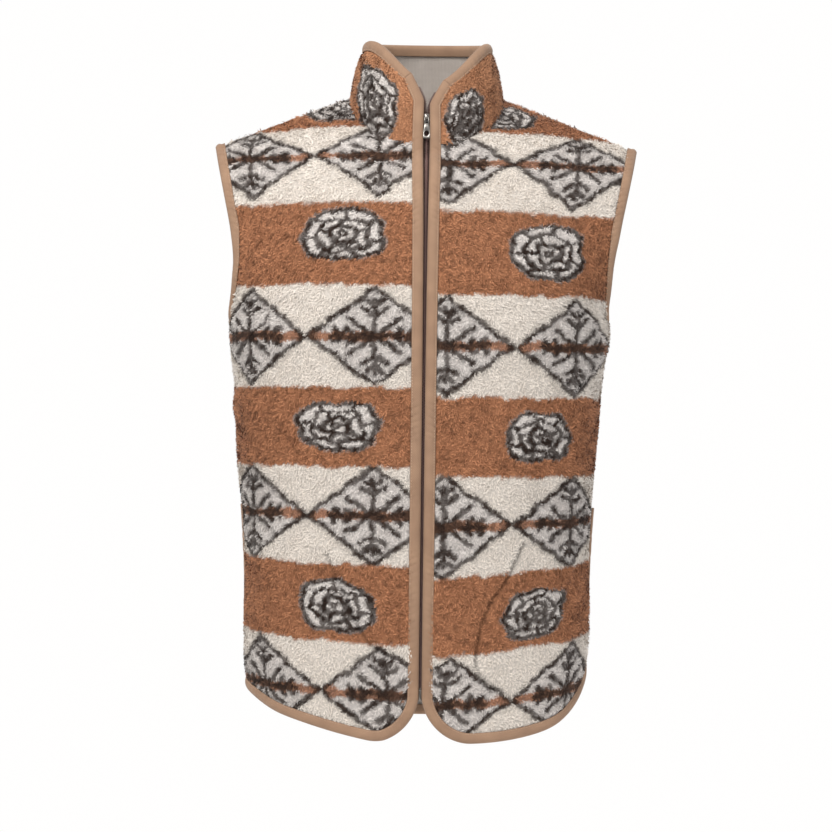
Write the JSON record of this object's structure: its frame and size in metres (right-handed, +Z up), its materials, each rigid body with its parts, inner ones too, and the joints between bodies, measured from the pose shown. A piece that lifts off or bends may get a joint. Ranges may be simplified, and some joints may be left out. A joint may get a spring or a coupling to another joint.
{
  "type": "wool pile vest",
  "caption": "Sleeveless wool pile vest with stand collar, full front zip, taped edges and side pockets, hollow as when worn.",
  "frame": {"origin": "midway between the two points where the collar seam meets the shoulder seams, at the base of the neck, where the wearer holds the garment up", "axes": "+X towards the wearer's left, -Y out of the front, +Z up along the body"},
  "size_m": [0.4608, 0.2546, 0.7567],
  "materials": {
    "wool_pile": "thick curly wool pile in brown and cream bands",
    "binding": "tan woven tape",
    "zip_tape": "dark brown woven tape and coil",
    "zip_metal": "smooth plated metal"
  },
  "bodies": {
    "vest": {"front_left": "wool_pile", "front_right": "wool_pile", "back": "wool_pile", "collar": "wool_pile", "binding_front_left": "binding", "binding_front_right": "binding", "binding_collar": "binding", "binding_hem_back": "binding", "binding_armhole_left": "binding", "binding_armhole_right": "binding", "pocket_tape_left": "binding", "pocket_tape_right": "binding", "zip_chain_left": "zip_tape", "zip_chain_right": "zip_tape", "zip_tape_left": "zip_tape", "zip_tape_right": "zip_tape", "zip_slider": "zip_metal", "zip_box": "zip_metal"},
    "pull": {"pull_tab": "zip_metal"}
  },
  "joints": [
    {"name": "pull_hinge", "type": "hinge", "parent": "vest", "child": "pull", "pos_m": [0, -0.0811, -0.03043], "axis": [-1, 0, 0], "range_deg": [0, 150]}
  ]
}
